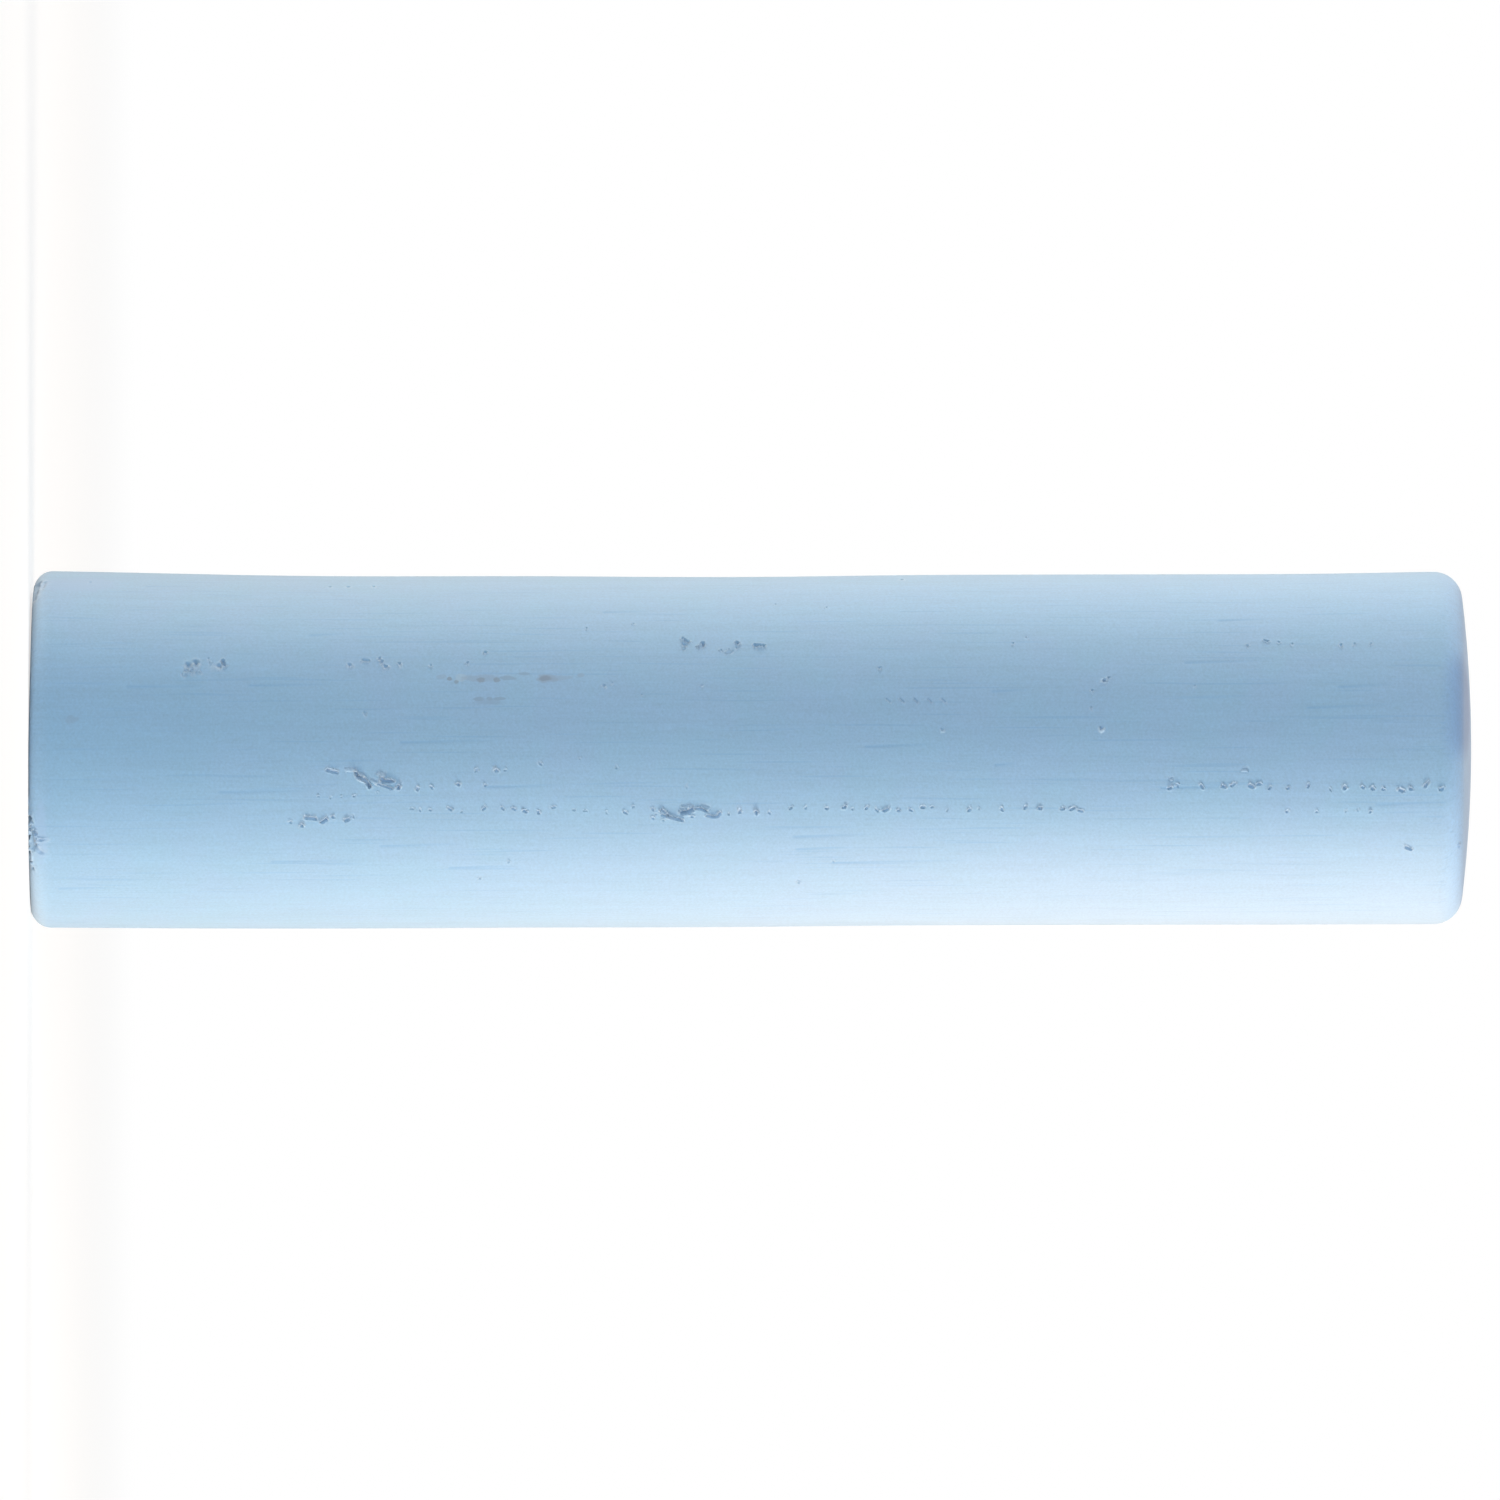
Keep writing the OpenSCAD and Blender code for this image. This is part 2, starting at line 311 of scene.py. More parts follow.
tears = [
    ([(13.45, 6.8), (13.9, 7.4)], 0.09, 0.09),
    ([(14.75, 7.8), (14.85, 8.8), (15.15, 9.8), (15.3, 11.3), (15.35, 12)], 0.12, 0.17),
    ([(15.9, 9.6), (16.0, 10.3), (16.35, 10.4)], 0.12, 0.17),
    ([(15.7, 11.1), (16.1, 12.1), (16.35, 12.8)], 0.08, 0.08), ([(16.65, 12.4)], 0.13, 0.16),
    ([(15.7, 14)], 0.07, 0.04), ([(17.5, 13)], 0.11, 0.1), ([(18.15, 12.4)], 0.1, 0.07),
    ([(19.35, 11.4)], 0.11, 0.09), ([(20.55, 11.7)], 0.09, 0.06),
    ([(13.05, 15.2)], 0.07, 0.05), ([(13.6, 15.8)], 0.07, 0.05), ([(14.1, 15.4)], 0.06, 0.04),
    ([(14.65, 15.2)], 0.08, 0.06),
    ([(11.8, 24.2)], 0.1, 0.06), ([(12.3, 25.4)], 0.13, 0.1),
    ([(12.45, 22.6), (12.9, 22.9), (12.95, 23.2)], 0.09, 0.1), ([(13.2, 24.2), (13.4, 23.2)], 0.11, 0.11),
    ([(13.7, 22.4)], 0.1, 0.09), ([(14.25, 23.7), (14.4, 23.2)], 0.1, 0.09),
    ([(20.15, 6.8)], 0.1, 0.07), ([(21.05, 6.8)], 0.13, 0.1), ([(21.45, 6.7)], 0.08, 0.05),
    ([(23.05, 4.7)], 0.1, 0.07), ([(26.45, 5.8)], 0.09, 0.05), ([(24.8, 2.9)], 0.07, 0.03),
    ([(25.9, -21.5)], 0.1, 0.07), ([(26.25, -22.4)], 0.08, 0.05), ([(30.3, -21.5)], 0.08, 0.05),
    ([(27.6, -18.4)], 0.07, 0.04), ([(29.6, 12.4)], 0.08, 0.05), ([(21.6, 39.5)], 0.09, 0.05),
    ([(20.3, 46.8)], 0.09, 0.05), ([(25.1, -43.8)], 0.08, 0.05), ([(27.2, -45.9)], 0.08, 0.05),
    ([(28.1, 19.9)], 0.1, 0.07), ([(28.25, 21.5)], 0.07, 0.05), ([(28.1, 23)], 0.1, 0.07),
    ([(28.55, 23.7)], 0.08, 0.05),
    ([(28.5, 20.1), (28.7, 21.4), (28.85, 22.6), (29.05, 23.1), (29.25, 23.5), (29.4, 23.8)], 0.1, 0.13),
    ([(28.5, 21.9), (28.8, 22.4)], 0.08, 0.08),
    ([(29.4, 21.2), (29.65, 20.9), (29.85, 19.9)], 0.13, 0.17),
    ([(30.05, 19.7), (30.25, 19.8), (30.5, 20.6)], 0.09, 0.12), ([(29.85, 22.4)], 0.1, 0.06),
    ([(30.55, 22.2), (30.8, 22.6), (31.0, 22.4), (31.1, 21.1)], 0.09, 0.1),
    ([(31.5, 21.6)], 0.08, 0.06), ([(32, 20.7)], 0.12, 0.09), ([(32.75, 21)], 0.13, 0.12),
    ([(29.45, -39.3), (29.65, -38.2)], 0.11, 0.15), ([(29.5, -37)], 0.15, 0.06),
    ([(30.15, -36), (30.35, -36.4), (30.35, -37.7)], 0.1, 0.12), ([(31.15, -34.7)], 0.09, 0.06),
    ([(31.5, -35)], 0.08, 0.05), ([(31.9, -37.6)], 0.13, 0.13), ([(31.85, -35.6)], 0.08, 0.05),
    ([(32.65, -36.8), (33.1, -36.6)], 0.1, 0.1),
    ([(38.3, -28)], 0.1, 0.07), ([(41.1, -6.7)], 0.09, 0.06), ([(44.3, -37.5)], 0.09, 0.06),
    ([(48.4, -23.4)], 0.12, 0.1), ([(48.6, -24.4)], 0.09, 0.07), ([(47.85, -19.9)], 0.09, 0.07),
    ([(47.8, -14)], 0.09, 0.06), ([(48.25, -7.1)], 0.12, 0.1), ([(36.2, 39.5)], 0.09, 0.05),
    ([(34.65, 49.2)], 0.1, 0.06), ([(39.3, -76.5)], 0.13, 0.09), ([(33.6, -56.4)], 0.08, 0.04),
    ([(35.9, -54.5)], 0.08, 0.04),
    ([(54.85, -36.6)], 0.09, 0.06), ([(55.6, -38.8), (55.75, -38.4)], 0.1, 0.07),
    ([(56.25, -38)], 0.09, 0.06), ([(56.85, -37.2)], 0.09, 0.06), ([(59.05, -36.6)], 0.12, 0.08),
    ([(59.65, -37.2)], 0.09, 0.06), ([(60.4, -37.2)], 0.09, 0.05), ([(52.45, -21.5)], 0.08, 0.04),
    ([(56.6, 20.6)], 0.1, 0.07), ([(57.95, 20.6)], 0.09, 0.06), ([(59.25, 20.5)], 0.08, 0.05),
    ([(59.8, 20.1)], 0.08, 0.05), ([(60.35, 20.6)], 0.1, 0.07),
    ([(61.95, 33.5), (62.2, 34.4)], 0.09, 0.09), ([(64.5, 36)], 0.14, 0.1),
]
nick_count, nick_step = 5, 0.62
nicks = [([(38.6 + nick_step * i, -17), (38.75 + nick_step * i, -15.9)], 0.06, 0.05)
         for i in range(nick_count)]

# Rows of bubbles that the die drew out along the stick. Each bubble's size is a share of
# the row's, it strays and trails round the stick by degrees, and it trails up it a little.
row_sizes, row_steps = (0.55, 1.15), (0.35, 1.05)
row_stray, row_trail, row_tail = 0.9, 0.8, 0.16


def bubble_row(start, end, around, wide, deep, seed):
    chance = np.random.default_rng(seed)
    up, row = start, []
    while up < end:
        size = wide * chance.uniform(*row_sizes)
        place = (up, around + chance.uniform(-row_stray, row_stray))
        tail = (up + chance.uniform(0, row_tail), place[1] + chance.uniform(-row_trail, row_trail))
        row.append(([place, tail], size, deep * size / wide))
        up += chance.uniform(*row_steps)
    return row


rows = (bubble_row(17.2, 27.8, 19.9, 0.085, 0.07, 3) + bubble_row(33.3, 47.6, 19.9, 0.095, 0.08, 8)
        + bubble_row(51.3, 64.2, 12.2, 0.1, 0.09, 5) + bubble_row(20, 33, 139, 0.12, 0.1, 13)
        + bubble_row(40, 58, 188, 0.12, 0.1, 21) + bubble_row(6, 17, 236, 0.12, 0.1, 34))

# Loose clusters on the sides and the back, where the same paste was drawn. Each bubble's
# depth is a share of its half width.
cluster_tails, cluster_trail = (-0.2, 0.3), 1.5
cluster_sizes, cluster_depths = (0.07, 0.15), (0.6, 1.1)


def cluster(up, around, spread_up, spread_round, count, seed):
    chance = np.random.default_rng(seed)
    group = []
    for _ in range(count):
        place = (up + chance.normal(0, spread_up), around + chance.normal(0, spread_round))
        tail = (place[0] + chance.uniform(*cluster_tails),
                place[1] + chance.uniform(-cluster_trail, cluster_trail))
        wide = chance.uniform(*cluster_sizes)
        group.append(([place, tail], wide, wide * chance.uniform(*cluster_depths)))
    return group


clusters = (cluster(9.8, 150, 0.5, 1.2, 6, 1) + cluster(24.5, 139, 0.7, 1.8, 9, 2)
            + cluster(35.8, 171, 0.5, 1.5, 6, 4) + cluster(47.5, 188, 0.7, 1.5, 8, 6)
            + cluster(52.8, 112, 0.5, 1.2, 6, 7) + cluster(14, 262, 0.6, 1.4, 7, 9)
            + cluster(40.5, 246, 0.5, 1.3, 6, 10) + cluster(57, 222, 0.5, 1.3, 6, 11))

# Drag lines along the stick: [start, end, degrees]. Each starts sharply and fades out.
drags = [
    (4.5, 8.2, -20.9), (10, 13.8, -21.5), (12.7, 14.4, -40.7), (11, 15.4, 38.8), (1.4, 3.6, 50.7),
    (8.7, 13.2, 13.4), (5.3, 7.5, -67), (16.8, 21.3, -2.9), (20.6, 24, 11.7), (19, 22.2, 41.4),
    (15.9, 19.6, 32.5), (25.9, 28.2, -51.7), (34.5, 37.9, 29.1), (34.6, 37, 34), (36.2, 42.7, 39.3),
    (37.7, 40.9, -1.6), (43.4, 45.1, -19.8), (43.5, 44.5, 4.5), (59, 61.4, -21.4),
    (57.6, 61.4, -14.4), (60.7, 64.2, 17.4), (53.6, 55.7, -47.7), (52.1, 55.7, -30.2),
    (51, 54.4, 12.1),
]
back_drags, back_from, back_over = 14, 95, 170
chance = np.random.default_rng(77)
drags += [(up, up + chance.uniform(1.5, 5), back_from + chance.uniform(0, back_over))
          for up in chance.uniform(3, 58, back_drags)]
drag_wide, drag_deep, drag_slant = 0.055, 0.016, -0.7

# Chips out of the rims, as strokes whose heights are runs from the flank's near end
foot_chips = [
    ([(-1.1, 19.5)], 0.2, 0.1), ([(-1.1, 22.6), (-0.6, 23.6)], 0.18, 0.14),
    ([(-1.1, 26.8), (-0.7, 27), (-0.36, 28)], 0.15, 0.12), ([(-1, 29.5), (-1.05, 35.5)], 0.28, 0.2),
    ([(-0.7, 29), (-0.5, 33)], 0.36, 0.08), ([(-0.13, 30.5)], 0.12, 0.06),
    ([(-0.35, 32.5), (-0.15, 35)], 0.2, 0.06), ([(-0.9, 37), (-0.85, 39)], 0.26, 0.1),
    ([(-0.95, 40), (-0.6, 42.5)], 0.18, 0.1), ([(-0.7, -72), (-0.9, -62)], 0.34, 0.12),
    ([(-0.3, -70), (-0.4, -66)], 0.18, 0.06), ([(-0.8, 118), (-0.6, 124)], 0.35, 0.2),
    ([(-0.9, 212), (-0.7, 217)], 0.3, 0.15)]
head_chips = [([(0.5, 158), (0.8, 163)], 0.3, 0.12), ([(0.9, 250), (1.0, 252)], 0.22, 0.1)]

# Crumbs of torn paste that stand proud beside the marks, as strokes that end with how
# far they stand up
crumbs_proud = [
    ([(14.3, 6.6), (14.75, 6.7)], 0.09, 0.06), ([(14.85, 8.2), (15.05, 8.5)], 0.09, 0.06),
    ([(15.4, 10), (15.7, 11.1)], 0.09, 0.06), ([(15.72, 8), (16, 8.3)], 0.1, 0.07),
    ([(7, -25.6)], 0.12, 0.06), ([(7.7, -26.4)], 0.1, 0.05), ([(29.46, -36)], 0.11, 0.06),
    ([(31.4, -34.2), (31.6, -34.3)], 0.1, 0.06), ([(44.9, -40.3)], 0.08, 0.05),
    ([(29.4, 19.1), (29.75, 19)], 0.09, 0.06), ([(30.3, 19), (30.6, 19.6)], 0.09, 0.05),
    ([(51.4, 9.8)], 0.1, 0.06), ([(54.6, 6.8), (54.8, 6.9)], 0.09, 0.05), ([(12.6, 22.3)], 0.09, 0.05),
    ([(14.6, 22.6)], 0.09, 0.05), ([(8.2, -29.6)], 0.12, 0.04)]

# The drift moves a mark round the bar the more the nearer it is to a side, up to a limit
steepest = 0.3


def run_of(up):
    return flank_start + up - foot_rim


def on_bar(up, around):
    """A place's turn and run. At the front, degrees count round the line between the ends."""
    facing = math.cos(math.radians(around))
    drifted = float(along_curve(drift_at, up)) / barrel_r / max(facing, steepest) if facing > 0 else 0
    return math.radians(around) - drifted, run_of(up)


strokes = [([on_bar(*place) for place in places], wide, deep)
           for places, wide, deep in bubbles + tears + nicks + rows + clusters]
strokes += [([on_bar(*place) for place in places], wide, -tall) for places, wide, tall in crumbs_proud]
for flank_edge, chips in ((flank_start, foot_chips), (flank_end, head_chips)):
    strokes += [([(math.radians(around), flank_edge + up) for up, around in places], wide, deep)
                for places, wide, deep in chips]

# The skin is cut into cells, which are halved up to this many times: small ones round each
# mark and along the rims, and larger ones between them. Behind the sides they are coarser.
around_cells, finest = 96, 4
side_on = 91
cells_across, back_cells_across, least_cell = 2.6, 1.7, 0.033
stroke_reach, drag_reach = 1.2, 0.6
drag_step, drag_cell, back_drag_cell = 0.13, 0.07, 0.13
rim_cell, rim_reach, rim_edge, rim_edge_cell = 0.26, 0.6, 0.26, 0.13
cell = 2 * math.pi * barrel_r / around_cells
run_cells = round(outline_run / cell)
cell_run = outline_run / run_cells
to_split = [set() for _ in range(finest)]


def refine(turn, run, reach, size):
    """Asks for cells no larger than size within reach of a place."""
    for level in range(finest):
        if cell / 2 ** level <= size:
            return
        step, step_run = cell / 2 ** level, cell_run / 2 ** level
        across = turn * barrel_r
        for i in range(math.floor((across - reach) / step), math.floor((across + reach) / step) + 1):
            for j in range(math.floor((run - reach) / step_run), math.floor((run + reach) / step_run) + 1):
                if 0 <= j < run_cells * 2 ** level:
                    to_split[level].add((i % (around_cells * 2 ** level), j))


for places, wide, deep in strokes:
    at_front = abs(math.degrees(places[0][0])) < side_on
    fine = max(wide / cells_across, least_cell) if at_front else wide / back_cells_across
    ends = places if len(places) > 1 else places * 2
    for (t0, r0), (t1, r1) in zip(ends, ends[1:]):
        steps = max(1, round(math.hypot((t1 - t0) * barrel_r, r1 - r0) / wide))
        for k in range(steps + 1):
            refine(t0 + (t1 - t0) * k / steps, r0 + (r1 - r0) * k / steps, stroke_reach * wide, fine)
for start, end, around in drags:
    for up in np.arange(start, end, drag_step):
        turn_at, run_at = on_bar(up, around)
        fine = drag_cell if abs(around) < side_on else back_drag_cell
        refine(turn_at, run_at, drag_reach * drag_wide, fine)
rims = ((flank_start - foot_arc / 2, rim_reach * foot_arc, rim_cell), (flank_start, rim_edge, rim_edge_cell),
        (flank_end + head_arc / 2, rim_reach * head_arc, rim_cell))
for k in range(around_cells):
    for run_at, reach, fine in rims:
        refine(2 * math.pi * k / around_cells, run_at, reach, fine)

# The cells beside a small one are split too, so that neighbours differ by one halving
for level in range(finest - 1, 0, -1):
    cells_round = around_cells * 2 ** level
    for i, j in list(to_split[level]):
        for di in (-1, 0, 1):
            for dj in (-1, 0, 1):
                if 0 <= j + dj < run_cells * 2 ** level:
                    to_split[level - 1].add(((i + di) % cells_round // 2, (j + dj) // 2))

leaves = []
cells = [(i, j) for i in range(around_cells) for j in range(run_cells)]
for level in range(finest + 1):
    smaller = []
    for i, j in cells:
        if level < finest and (i, j) in to_split[level]:
            smaller += [(2 * i, 2 * j), (2 * i + 1, 2 * j), (2 * i, 2 * j + 1), (2 * i + 1, 2 * j + 1)]
        else:
            leaves.append((i << (finest - level), j << (finest - level), 1 << (finest - level)))
    cells = smaller

wrap = around_cells << finest
top = run_cells << finest
number, grid_places = {}, []


def corner(i, j):
    """The number of the skin's vertex at a grid place, with one vertex at each pole."""
    key = (i % wrap, j) if 0 < j < top else (0, j)
    if key not in number:
        number[key] = len(grid_places)
        grid_places.append(key)
    return number[key]


for i, j, w in leaves:
    for key in ((i, j), (i + w, j), (i + w, j + w), (i, j + w)):
        corner(*key)
faces = []
for i, j, w in leaves:
    ring = []
    for k, (a, b) in enumerate(((0, 0), (1, 0), (1, 1), (0, 1))):
        ring.append(corner(i + a * w, j + b * w))
        c, d = ((1, 0), (1, 1), (0, 1), (0, 0))[k]
        middle = ((i + (a + c) * w // 2) % wrap, j + (b + d) * w // 2)
        if w > 1 and middle in number:
            ring.append(number[middle])
    ring = [v for k, v in enumerate(ring) if v != ring[k - 1]]
    if len(ring) <= 4:
        faces.append(ring)
    else:
        hub = corner(i + w // 2, j + w // 2)
        faces += [[hub, v, ring[(k + 1) % len(ring)]] for k, v in enumerate(ring)]

grid = np.array(grid_places, float)
turn = grid[:, 0] / wrap * 2 * np.pi
run = grid[:, 1] / top * outline_run

# The relief, in millimetres, and, from 0 to 1, how much painted shade each place takes in a hollow,
# how much pale torn paste with painted highlight it takes, and how far it is in a drag line
relief, hollow_shade, torn, dragged = (np.zeros(len(grid_places)) for _ in range(4))
order = np.argsort(run)
sorted_run = run[order]


def near(run_low, run_high):
    return order[np.searchsorted(sorted_run, run_low):np.searchsorted(sorted_run, run_high)]


def across_from(ids, at):
    """Distance round the skin from a turn, in millimetres, the short way."""
    return ((turn[ids] - at + np.pi) % (2 * np.pi) - np.pi) * barrel_r


# Each mark slopes easily on the side towards the front and steeply on the other. Its pit
# takes a share of its width, and a crest of pushed-up paste runs round it, lower on the
# far side and lowest on the stick's sides. The crumbs are a fixed pattern that makes the
# edges ragged, and the lean turns each mark's own bends.
chance = np.random.default_rng(2)
easy_side, steep_side = 1.5, 0.85
pit_share, sink, lip_share, crumble = 0.72, 1.3, 0.75, 0.22
mark_reach, unreached = 2.5, 99.0
two_bend, three_bend = 0.16, 0.12
bowl_power, crest_at, crest_wide = 0.85, 1.25, 0.35
outer_crest, edge_on, edge_on_crest = 0.5, 0.87, 0.2
full_depth, inner_hollow_shade, torn_out_to, outer_torn = 0.1, 0.3, 2.2, 0.2
crumbs = (np.sin(turn * barrel_r * 23 + 3 * np.sin(run * 9)) * np.sin(run * 21 + 2 * np.sin(turn * 70))
          + 0.5 * np.sin(turn * barrel_r * 41 + run * 17) * np.sin(run * 37 - turn * 120))
for places, wide, deep in strokes:
    ends = places if len(places) > 1 else places * 2
    runs = [r for _, r in ends]
    ids = near(min(runs) - mark_reach * wide, max(runs) + mark_reach * wide)
    turns = [t for t, _ in ends]
    ids = ids[np.abs(across_from(ids, sum(turns) / len(turns)))
              < mark_reach * wide + (max(turns) - min(turns)) * barrel_r]
    gap = np.full(len(ids), unreached)
    lean = chance.uniform(0, 2 * np.pi, 3)
    for (t0, r0), (t1, r1) in zip(ends, ends[1:]):
        px, py = across_from(ids, t0), run[ids] - r0
        dx, dy = (t1 - t0) * barrel_r, r1 - r0
        share = np.clip((px * dx + py * dy) / max(dx * dx + dy * dy, 1e-9), 0, 1)
        ox, oy = px - share * dx, py - share * dy
        inward = ox * math.copysign(1, math.sin(t0)) < 0
        ox = ox / np.where(inward, easy_side, steep_side)
        angle = np.arctan2(oy, ox)
        ragged = 1 + two_bend * np.sin(2 * angle + lean[0]) + three_bend * np.sin(3 * angle + lean[1])
        gap = np.minimum(gap, np.hypot(ox, oy) / (pit_share * wide) / ragged)
    gap *= 1 + crumble * crumbs[ids]
    bowl = np.clip(1 - gap, 0, 1) ** bowl_power
    lip = np.exp(-((gap - crest_at) / crest_wide) ** 2) * (1 + crumbs[ids])
    turned_away = abs(math.sin(t0)) > edge_on
    crest = lip_share * np.where(inward, 1, outer_crest) * (edge_on_crest if turned_away else 1)
    relief[ids] += deep * (crest * lip - sink * bowl)
    # Painted shade in the pit's bowl, lighter on the inner side, which faces the lamps
    sunk_shade = bowl * np.where(inward, inner_hollow_shade, 1) * min(deep / full_depth, 1)
    hollow_shade[ids] = np.maximum(hollow_shade[ids], sunk_shade)
    # Pale torn paste round the mark, mostly on the inner slopes that face the lamps: partly the paste's own
    # colour, partly painted highlight
    rough = np.clip(torn_out_to - gap, 0, 1) * min(abs(deep) / full_depth, 1)
    torn[ids] = np.maximum(torn[ids], rough * np.where(inward, 1, outer_torn))

# A drag line slants a little, starts sharply and fades out along its length
drag_before, drag_far, drag_start, drag_fade = 0.1, 6, 12, 0.7
for start, end, around in drags:
    ids = near(run_of(start) - drag_before, run_of(end))
    middle_turn = on_bar((start + end) / 2, around)[0]
    ids = ids[np.abs(across_from(ids, middle_turn)) < drag_far * drag_wide]
    share = (run[ids] - run_of(start)) / (end - start)
    slant = math.radians(drag_slant) * (share - 0.5) * barrel_r
    off = (across_from(ids, middle_turn) - slant) / drag_wide
    strength = np.clip(share * drag_start + 1, 0, 1) * np.clip(1 - share, 0, 1) ** drag_fade
    line = np.exp(-off ** 2) * strength
    relief[ids] -= drag_deep * line
    dragged[ids] = np.maximum(dragged[ids], line)

# A soft unevenness all over, from three slow waves, and then the bar's own shape
tall, middling, slight = 0.012, 0.008, 0.006
skin_wave = (tall * np.sin(3 * turn + 0.9) * np.sin(run / 7) + middling * np.sin(5 * turn - run / 11)
             + slight * np.sin(9 * turn + run / 17))
r, z, nr, nz = outline(run)
rolled = (run > foot_disc) & (run < flank_start)
t = (run[rolled] - foot_disc) / foot_rim
squared = 2 / (2 + rim_square * np.cos(turn[rolled]) ** 2)
r[rolled] = foot_disc + foot_rim * np.sin(t) ** squared
z[rolled] = foot_rim * (1 - np.cos(t) ** squared)
r = r * along_curve(radius_at, z) / barrel_r
lift = relief + skin_wave * nr
r, z = r + nr * lift, z + nz * lift
x = r * np.sin(turn) + along_curve(drift_at, z)
y = -r * np.cos(turn)
z = np.maximum(z, 0) + cut_slope * np.maximum(-x, 0) * np.exp(-np.maximum(z, 0) / cut_fade)
x, y, z = x * mm, y * mm, z * mm

stick_mesh = bpy.data.meshes.new("pastel_stick_skin")
stick_mesh.from_pydata(np.column_stack([x, y, z]).tolist(), [], faces)
stick_mesh.update()
stick_mesh.shade_smooth()
# The painted shade in hollows, the torn paste with its painted highlight, and the drag lines
for name, values in (("hollow_shade", hollow_shade), ("torn", torn), ("dragged", dragged)):
    stick_mesh.attributes.new(name, "FLOAT", "POINT").data.foreach_set("value", values.astype(np.float32))
stick = bpy.data.objects.new("stick", stick_mesh)
scene.collection.objects.link(stick)

# The skin laid out flat for baking on a square sheet: the flank unrolled, and the two ends
# as discs beside it
sheet, margin = 68.0, 1
foot_disc_at, head_disc_at = (59.0, 9.0), (59.0, 28.0)
unrolled = stick_mesh.uv_layers.new(name="OFBake")
for face in stick_mesh.polygons:
    ring = list(face.vertices)
    turns, runs = turn[ring], run[ring]
    if runs.max() <= flank_start:
        us, vs = foot_disc_at[0] + runs * np.sin(turns), foot_disc_at[1] + runs * np.cos(turns)
    elif runs.min() >= flank_end:
        inward = outline_run - runs
        us, vs = head_disc_at[0] + inward * np.sin(turns), head_disc_at[1] + inward * np.cos(turns)
    else:
        turns = np.where(turns.max() - turns < np.pi, turns, turns + 2 * np.pi)
        us, vs = turns * barrel_r, runs - flank_start + margin
    for loop, u, v in zip(face.loop_indices, us, vs):
        unrolled.data[loop].uv = (u / sheet, v / sheet)

# Its finish: dusty matt pigment, a clear pale blue. The die left it finely streaked along the
# stick and grained all over. The torn paste in the marks is paler and greyer, partly its own
# colour and partly painted highlight on the slopes that face the lamps.
pigment = (0.25, 0.476, 0.693, 1.0)
lavender, teal = (0.275, 0.465, 0.71, 1.0), (0.235, 0.487, 0.675, 1.0)
pigment_share, cloud_edges = 0.75, (0.3, 0.7)
grain_scale, cloud_scale = 9000.0, 450.0
streak_stretch, fine_stretch = (2600.0, 2600.0, 90.0), (8000.0, 8000.0, 500.0)
grain_tone, streak_tone = 0.36, 0.12
chalk = bpy.data.materials.new("pastel_chalk")
skin = new_tree(chalk)
where = skin.node("ShaderNodeTexCoord", output="Object")
across_stick, to_front, up_stick = where.along(0) / mm, where.along(1) / -mm, where.along(2) / mm
grain = skin.noise(where, grain_scale, detail=3.0, rough=0.6)
streaks = skin.noise(where.times(streak_stretch), 1.0, detail=3.0, rough=0.6)
fine_streaks = skin.noise(where.times(fine_stretch), 1.0, detail=2.0, rough=0.6)
cloud = skin.noise(where, cloud_scale, detail=2.0).ramp(*cloud_edges)
tone = 1 + grain_tone * (grain - 0.5) + streak_tone * (streaks - 0.5) + streak_tone * (fine_streaks - 0.5)
colour = skin.node("ShaderNodeMix", {0: cloud, 6: lavender, 7: teal}, output=2, data_type="RGBA")
colour = colour.tint(pigment, pigment_share)

# Painted light: the right side, which the lamps there light, is paler, by [across] and [up] in millimetres
right_lit, right_lit_across, right_lit_up, right_lit_share = (0.40, 0.545, 0.72, 1.0), (1.5, 7.0), (5.0, 52.0), 0.6
colour = colour.tint(right_lit, across_stick.ramp(*right_lit_across) * up_stick.ramp(*right_lit_up) * right_lit_share)

# Painted light on the left side: a lighter, colder blue, more so towards the head
left_lit, left_lit_across, left_lit_up, left_lit_share = (0.32, 0.58, 0.86, 1.0), (4.0, 7.8), (0.0, 60.0), 0.5
colour = colour.tint(left_lit, (0 - across_stick).ramp(*left_lit_across) * up_stick.ramp(*left_lit_up) * left_lit_share)

# The rims: painted light at the foot, paler to lift the shade where its rim turns down to the
# floor; painted light at the head, a clearer blue against the grey its rim takes on edge-on;
# and painted shade at the front of the head, where the rim turns up away from the lamps
foot_rim_light, foot_rim_light_up, foot_rim_light_share = (0.42, 0.62, 0.80, 1.0), (0.1, 1.1), 0.5
head_rim_light, head_rim_light_up, head_rim_light_share = (0.34, 0.64, 1.0, 1.0), (63.4, 64.7), 0.85
head_rim_shade, rim_shade_up, rim_shade_share, rim_shade_edges = (0.06, 0.25, 0.60, 1.0), (63.4, 64.8), 0.7, (0.0, 0.8)
# Where the painted shade lies on the head's rim: [across] and [to the front], then its half widths, in
# millimetres
rim_shade_at, rim_shade_half = (-2.0, 7.0), (2.8, 5.0)
rim_shade_across = (across_stick - rim_shade_at[0]) / rim_shade_half[0]
rim_shade_front = (to_front - rim_shade_at[1]) / rim_shade_half[1]
rim_shaded = (1 - rim_shade_across * rim_shade_across - rim_shade_front * rim_shade_front).ramp(*rim_shade_edges)
# Painted light on the foot's rim
colour = colour.tint(foot_rim_light, (1 - up_stick.ramp(*foot_rim_light_up)) * foot_rim_light_share)
# Painted light on the head's rim
colour = colour.tint(head_rim_light, up_stick.ramp(*head_rim_light_up) * head_rim_light_share)
# Painted shade at the front of the head's rim
colour = colour.tint(head_rim_shade, up_stick.ramp(*rim_shade_up) * rim_shaded * rim_shade_share)

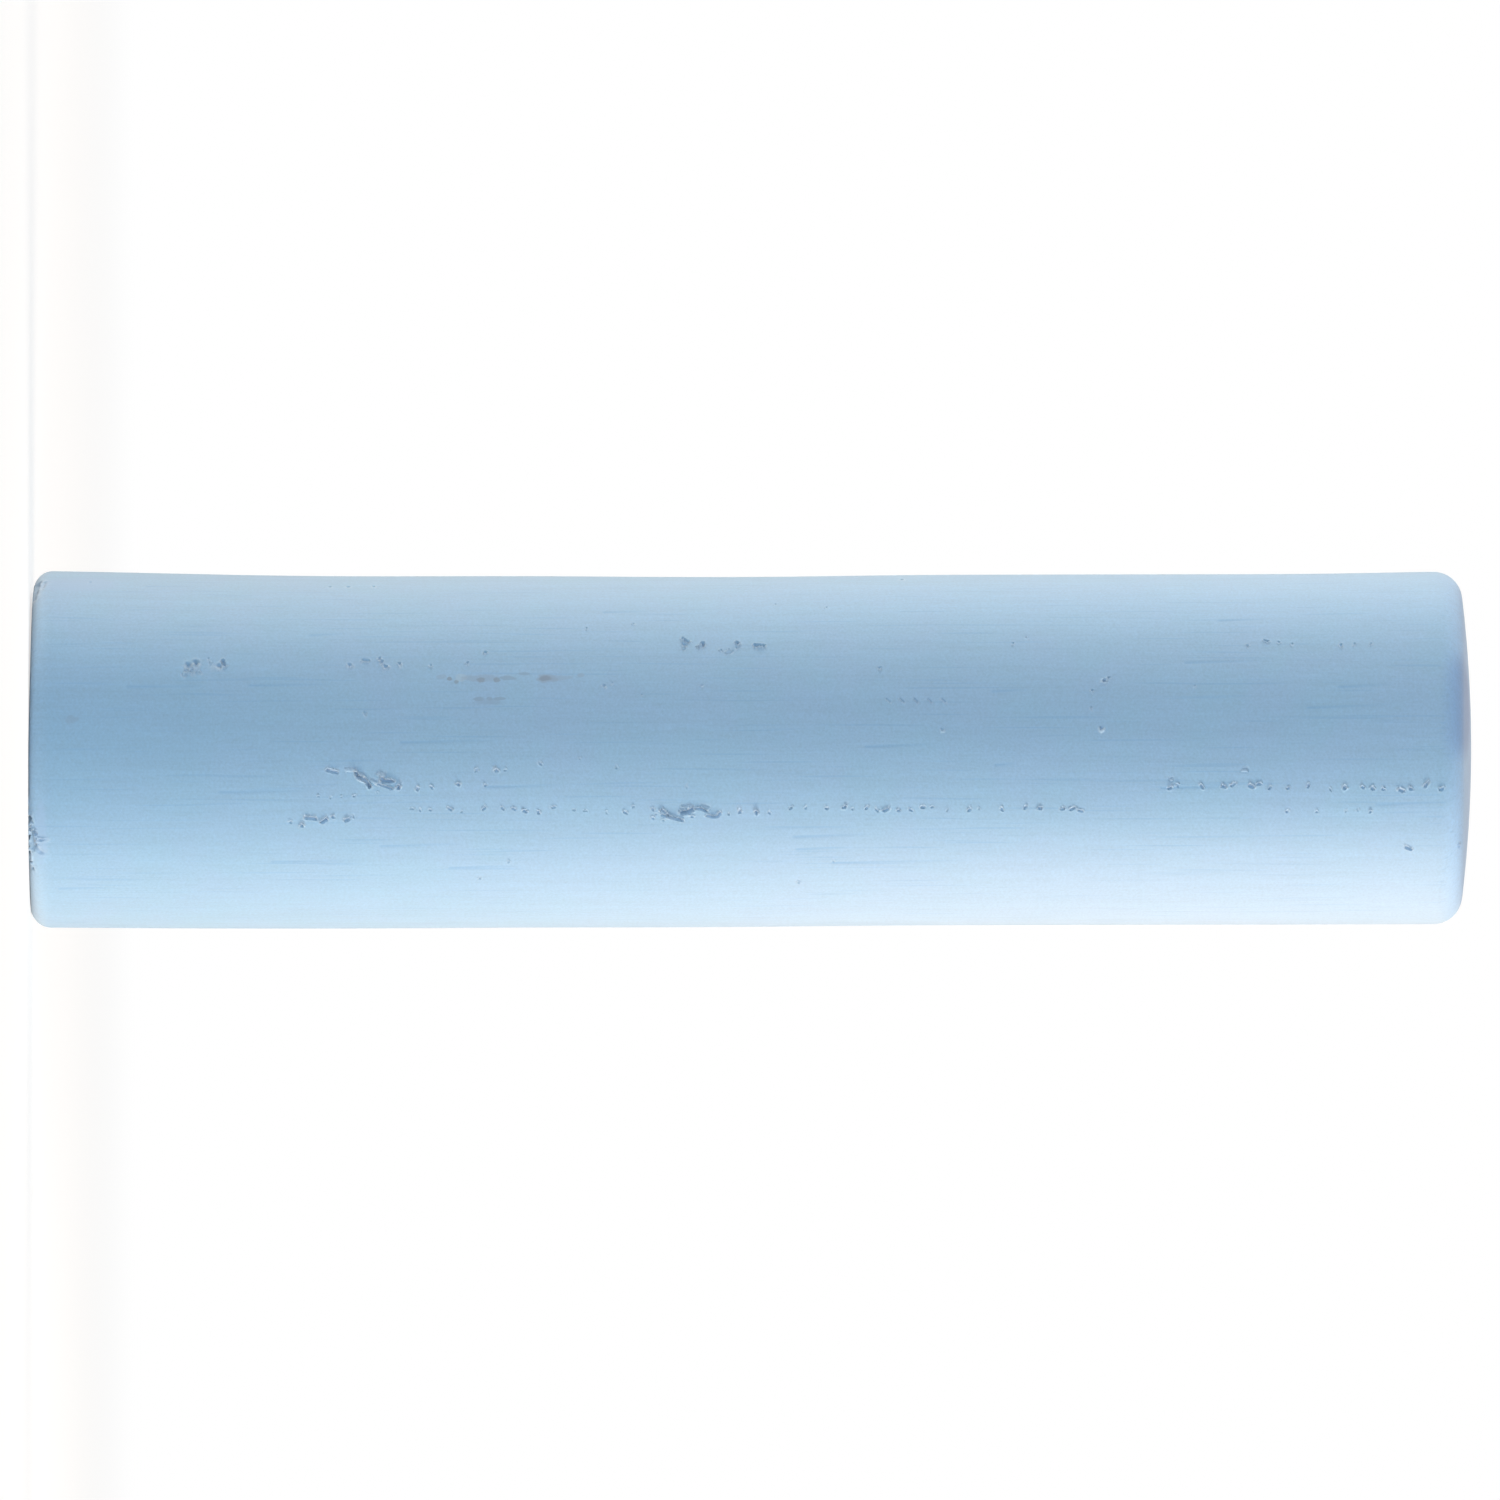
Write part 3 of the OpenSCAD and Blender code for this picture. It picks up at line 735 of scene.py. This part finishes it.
# Painted shade: a deeper blue low on the front and the back, darker towards the foot
foot_shade, foot_shade_up, foot_shade_across, foot_shade_share = (0.18, 0.42, 0.64, 1.0), (3.0, 20.0), (2.0, 6.5), 0.5
low_down, near_middle = 1 - up_stick.ramp(*foot_shade_up), 1 - abs(across_stick).ramp(*foot_shade_across)
colour = colour.tint(foot_shade, low_down * near_middle * foot_shade_share)
colour = skin.node("ShaderNodeVectorMath", {0: colour, "Scale": tone}, operation="SCALE")

# Fine scratches and drag lines are a deeper blue. Torn paste is pale, partly its own colour and partly
# painted highlight on the lit slopes of the marks. Hollows are darkened with painted shade.
scored, torn_paste, hollow_shade_blue = (0.10, 0.34, 0.62, 1.0), (0.58, 0.72, 0.86, 1.0), (0.13, 0.29, 0.47, 1.0)
scratch_stretch, scratch_edges = (7500.0, 7500.0, 160.0), (0.60, 0.74)
scratch_share, drag_share, torn_share, hollow_shade_share = 0.25, 0.5, 0.45, 0.6
scratches = skin.noise(where.times(scratch_stretch), 1.0, detail=1.0).ramp(*scratch_edges)
in_drag = skin.node("ShaderNodeAttribute", output="Fac", attribute_name="dragged")
on_torn = skin.node("ShaderNodeAttribute", output="Fac", attribute_name="torn")
in_hollow_shade = skin.node("ShaderNodeAttribute", output="Fac", attribute_name="hollow_shade")
colour = colour.tint(scored, scratches * scratch_share)
colour = colour.tint(scored, in_drag * drag_share)
# Torn paste: partly its own paler colour, partly painted highlight
colour = colour.tint(torn_paste, on_torn * torn_share)
# Painted shade in the hollows of the marks
colour = colour.tint(hollow_shade_blue, in_hollow_shade * hollow_shade_share)

# Smudges that handling left on the front: [height, across, half length, half width] in
# millimetres, then the strength and the paint. A noise breaks their edges.
brown, mauve, grey = (0.17, 0.26, 0.38, 1.0), (0.23, 0.37, 0.54, 1.0), (0.19, 0.33, 0.50, 1.0)
beige = (0.40, 0.56, 0.68, 1.0)
smudges = [
    ((18.6, -3.30, 0.25, 0.10), 0.5, mauve), ((18.95, -3.21, 0.13, 0.10), 0.8, brown),
    ((19.25, -3.06, 0.12, 0.10), 0.7, brown), ((19.46, -3.25, 0.30, 0.18), 0.45, beige),
    ((20.3, -3.23, 0.95, 0.18), 0.6, mauve), ((20.36, -3.16, 0.20, 0.12), 0.7, brown),
    ((21.08, -3.16, 0.18, 0.12), 0.7, brown), ((21.55, -3.24, 0.45, 0.11), 0.7, grey),
    ((22.3, -3.43, 0.32, 0.08), 0.6, grey), ((23.3, -3.20, 0.50, 0.20), 0.8, mauve),
    ((23.25, -3.22, 0.30, 0.13), 0.8, brown), ((23.95, -3.25, 0.50, 0.13), 0.5, mauve),
    ((24.86, -3.36, 0.16, 0.10), 0.6, mauve), ((20.25, -2.30, 0.25, 0.10), 0.7, grey),
    ((20.75, -2.30, 0.15, 0.09), 0.7, grey), ((21.2, -2.30, 0.32, 0.09), 0.7, grey),
    ((20.7, -2.15, 0.75, 0.12), 0.4, grey), ((1.94, -1.36, 0.38, 0.22), 0.4, grey),
    ((0.55, 3.7, 0.30, 1.5), 0.45, lavender), ((2.2, -7.45, 1.9, 0.35), 0.5, lavender),
]
front_edge, smudge_full, smudge_edges = (0.0, 0.5), 1.2, (0.0, 0.8)
break_stretch, break_by = (5500.0, 5500.0, 2500.0), 2.0
on_front = to_front.ramp(*front_edge)
broken = (skin.noise(where.times(break_stretch), 1.0, detail=2.0) - 0.5) * break_by
for (up, across, half_up, half_across), strength, paint_of in smudges:
    off_up, off_across = (up_stick - up) / half_up, (across_stick - across) / half_across
    inside = (smudge_full - off_up * off_up - off_across * off_across + broken).ramp(*smudge_edges)
    colour = colour.tint(paint_of, inside * on_front * strength)

streak_relief, grain_relief = 0.35, 0.6
uneven = streaks * streak_relief + fine_streaks * streak_relief + grain * grain_relief
bump = skin.node("ShaderNodeBump", {"Strength": 0.4, "Distance": 0.00003, "Height": uneven})
surface = skin.node("ShaderNodeBsdfPrincipled", {
    "Base Color": colour, "Roughness": 0.9, "Specular IOR Level": 0.1,
    "Sheen Weight": 0.44, "Sheen Roughness": 0.9, "Sheen Tint": (1.0, 0.9, 0.8, 1.0), "Normal": bump})
surface.surface_of("ShaderNodeOutputMaterial")
stick_mesh.materials.append(chalk)
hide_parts("pastel_stick")
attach(stick, "root")
